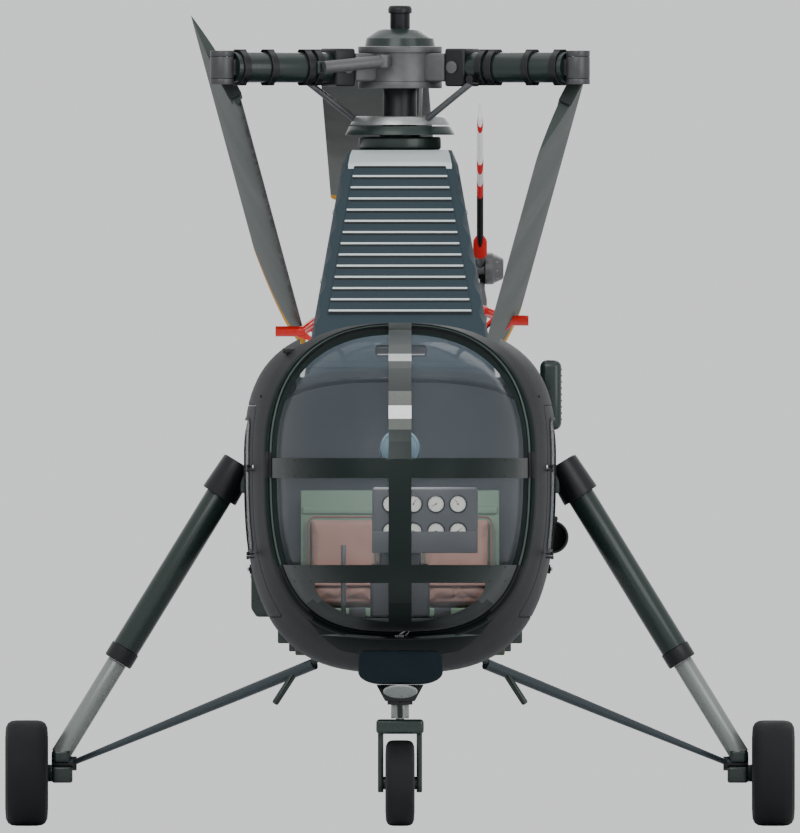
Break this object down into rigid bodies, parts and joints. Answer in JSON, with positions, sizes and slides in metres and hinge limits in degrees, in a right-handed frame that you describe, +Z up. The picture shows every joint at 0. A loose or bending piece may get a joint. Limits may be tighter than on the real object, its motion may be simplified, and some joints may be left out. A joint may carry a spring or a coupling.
{
  "type": "light utility helicopter",
  "caption": "Light helicopter with a glazed nose, wheeled gear on slanted legs and a folding rotor, parked with two blades swung aft.",
  "frame": {"origin": "on the ground, under the middle of the whole craft's length and width", "axes": "+Z up, nose towards -Y, the craft's port side towards +X"},
  "size_m": [3.795, 13.8472, 3.945],
  "materials": {
    "shell_paint": "satin",
    "tail_paint": "satin",
    "frame_paint": "satin",
    "pylon_paint": "satin",
    "hub_steel": "satin",
    "black_paint": "satin",
    "blade_skin": "matte",
    "tail_blade_skin": "satin",
    "glazing": "gloss",
    "panel_trim": "matte",
    "floor_alloy": "matte",
    "cushion_fabric": "matte",
    "seat_shell": "matte",
    "tyre_rubber": "matte",
    "wheel_black": "satin",
    "red_paint": "satin",
    "lamp_glass": "gloss"
  },
  "bodies": {
    "airframe": {"cabin_shell": "shell_paint", "engine_bay": "shell_paint", "tail_boom": "tail_paint", "tail_fin": "tail_paint", "nose_frame": "frame_paint", "nose_fairing": "frame_paint", "nose_leg": "frame_paint", "leg_cylinder_port": "frame_paint", "leg_cylinder_starboard": "frame_paint", "swashplate_lower": "frame_paint", "port_capsule": "frame_paint", "starboard_box": "frame_paint", "step_port": "frame_paint", "step_starboard": "frame_paint", "pylon_cowl": "pylon_paint", "intake_grille": "pylon_paint", "gear_frame_port": "hub_steel", "gear_frame_starboard": "hub_steel", "engine_block": "hub_steel", "exhaust_pipe": "black_paint", "cyclic_stick": "black_paint", "nose_glass": "glazing", "roof_glass": "glazing", "side_window_port": "glazing", "side_window_starboard": "glazing", "instrument_panel": "panel_trim", "rear_bulkhead": "panel_trim", "cabin_floor": "floor_alloy", "cushion_port": "cushion_fabric", "cushion_starboard": "cushion_fabric", "rear_bench": "cushion_fabric", "seat_frame": "seat_shell", "landing_lamp": "lamp_glass"},
    "main_rotor": {"rotor_mast": "black_paint", "rotor_hub": "hub_steel", "swashplate_upper": "hub_steel", "rotor_arm_port": "frame_paint", "rotor_arm_starboard": "frame_paint", "rotor_arm_aft": "frame_paint", "blade_aft": "blade_skin"},
    "port_blade": {"blade_port": "blade_skin", "fold_strut_port": "red_paint"},
    "starboard_blade": {"blade_starboard": "blade_skin", "fold_strut_starboard": "red_paint"},
    "tail_rotor": {"tail_rotor": "tail_blade_skin"},
    "port_door": {"door_port": "shell_paint", "door_glass_port": "glazing"},
    "starboard_door": {"door_starboard": "shell_paint", "door_glass_starboard": "glazing"},
    "port_wheel": {"wheel_port": "wheel_black", "tyre_port": "tyre_rubber"},
    "starboard_wheel": {"wheel_starboard": "wheel_black", "tyre_starboard": "tyre_rubber"},
    "nose_fork": {"nose_fork": "frame_paint"},
    "nose_wheel": {"wheel_nose": "wheel_black", "tyre_nose": "tyre_rubber"}
  },
  "joints": [
    {"name": "main_rotor_spin", "type": "hinge", "parent": "airframe", "child": "main_rotor", "pos_m": [0, -3.415, 3.647], "axis": [0, 0, 1], "continuous": true},
    {"name": "port_blade_fold", "type": "hinge", "parent": "main_rotor", "child": "port_blade", "pos_m": [0.85563, -3.909, 3.647], "axis": [0, 0, -1], "range_deg": [0, 120]},
    {"name": "starboard_blade_fold", "type": "hinge", "parent": "main_rotor", "child": "starboard_blade", "pos_m": [-0.85563, -3.909, 3.647], "axis": [0, 0, 1], "range_deg": [0, 120]},
    {"name": "tail_rotor_spin", "type": "hinge", "parent": "airframe", "child": "tail_rotor", "pos_m": [0.385, 5.635, 2.68], "axis": [1, 0, 0], "continuous": true},
    {"name": "port_door_swing", "type": "hinge", "parent": "airframe", "child": "port_door", "pos_m": [0.732, -5.495, 1.5], "axis": [0, 0, -1], "range_deg": [0, 75]},
    {"name": "starboard_door_swing", "type": "hinge", "parent": "airframe", "child": "starboard_door", "pos_m": [-0.732, -5.495, 1.5], "axis": [0, 0, 1], "range_deg": [0, 75]},
    {"name": "port_wheel_spin", "type": "hinge", "parent": "airframe", "child": "port_wheel", "pos_m": [1.795, -2.995, 0.2545], "axis": [1, 0, 0], "continuous": true},
    {"name": "starboard_wheel_spin", "type": "hinge", "parent": "airframe", "child": "starboard_wheel", "pos_m": [-1.795, -2.995, 0.2545], "axis": [1, 0, 0], "continuous": true},
    {"name": "nose_castor", "type": "hinge", "parent": "airframe", "child": "nose_fork", "pos_m": [0, -6.015, 0.5], "axis": [0, 0, 1], "continuous": true},
    {"name": "nose_wheel_spin", "type": "hinge", "parent": "nose_fork", "child": "nose_wheel", "pos_m": [0, -5.965, 0.2065], "axis": [1, 0, 0], "continuous": true}
  ]
}
